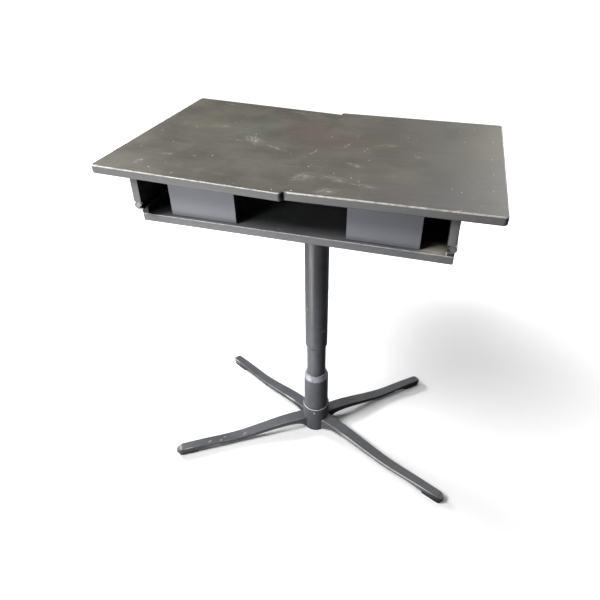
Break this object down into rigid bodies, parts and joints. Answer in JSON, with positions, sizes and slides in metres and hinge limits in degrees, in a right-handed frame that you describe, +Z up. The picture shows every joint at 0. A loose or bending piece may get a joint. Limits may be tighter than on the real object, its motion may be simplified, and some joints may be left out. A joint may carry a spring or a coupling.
{
  "type": "laptop desk",
  "caption": "Pedestal laptop desk: two hinged leaves open outwards over a shallow tray, on a telescopic swivel column with a spread of curved legs.",
  "frame": {"origin": "centre of the hub's underside, on the column's axis, at floor level", "axes": "+Z up along the column, +X along the tray to the user's right, +Y away from the user"},
  "size_m": [0.6567, 0.4089, 0.7439],
  "materials": {
    "top_board": "dark grey lacquer, worn",
    "tray_board": "grey lacquer",
    "fascia_board": "grey lacquer",
    "coated_steel": "satin dark grey coating",
    "hinge_steel": "plain rolled steel",
    "collar_metal": "turned and polished",
    "rod_chrome": "hard chrome",
    "black_plastic": "moulded",
    "dark_rubber": "moulded"
  },
  "bodies": {
    "base": {"base_hub": "coated_steel", "front_right_leg": "coated_steel", "rear_right_leg": "coated_steel", "rear_left_leg": "coated_steel", "front_left_leg": "coated_steel", "front_right_pad": "dark_rubber", "rear_right_pad": "dark_rubber", "rear_left_pad": "dark_rubber", "front_left_pad": "dark_rubber", "base_sleeve": "coated_steel", "collar_ring": "collar_metal", "lower_bush": "black_plastic", "upper_bush": "black_plastic", "thrust_washer": "black_plastic"},
    "stem": {"column_stem": "coated_steel", "stem_guide_bush": "black_plastic", "spring_seat": "coated_steel", "gas_cylinder": "coated_steel"},
    "tray": {"upper_tube": "coated_steel", "tube_guide_bush": "coated_steel", "gas_rod": "rod_chrome", "column_flange": "coated_steel", "lever_bracket": "coated_steel", "lever_pin": "hinge_steel", "tray_floor": "tray_board", "left_batten": "tray_board", "right_batten": "tray_board", "front_left_fascia": "fascia_board", "front_right_fascia": "fascia_board", "rear_left_fascia": "fascia_board", "rear_right_fascia": "fascia_board", "left_hinge_fixed_flap": "hinge_steel", "right_hinge_fixed_flap": "hinge_steel", "left_hinge_pin": "hinge_steel", "right_hinge_pin": "hinge_steel"},
    "lever": {"release_lever": "coated_steel", "lever_grip": "black_plastic"},
    "left_wing": {"left_leaf": "top_board", "left_end_panel": "top_board", "left_hinge_moving_flap": "hinge_steel"},
    "right_wing": {"right_leaf": "top_board", "right_end_panel": "top_board", "right_hinge_moving_flap": "hinge_steel"}
  },
  "joints": [
    {"name": "column_swivel", "type": "hinge", "parent": "base", "child": "stem", "pos_m": [0, 0, 0.1], "axis": [0, 0, 1], "continuous": true},
    {"name": "height_slide", "type": "slide", "parent": "stem", "child": "tray", "axis": [0, 0, 1], "range_m": [-0.08, 0.12]},
    {"name": "left_leaf_hinge", "type": "hinge", "parent": "tray", "child": "left_wing", "pos_m": [-0.253, 0, 0.6771], "axis": [0, -1, 0], "range_deg": [0, 115]},
    {"name": "right_leaf_hinge", "type": "hinge", "parent": "tray", "child": "right_wing", "pos_m": [0.253, 0, 0.6771], "axis": [0, 1, 0], "range_deg": [0, 115]},
    {"name": "release_lever_pivot", "type": "hinge", "parent": "tray", "child": "lever", "pos_m": [0.05, 0, 0.612], "axis": [0, -1, 0], "range_deg": [0, 8], "stiffness_Nm_per_rad": 1, "springref_deg": -8.59}
  ]
}
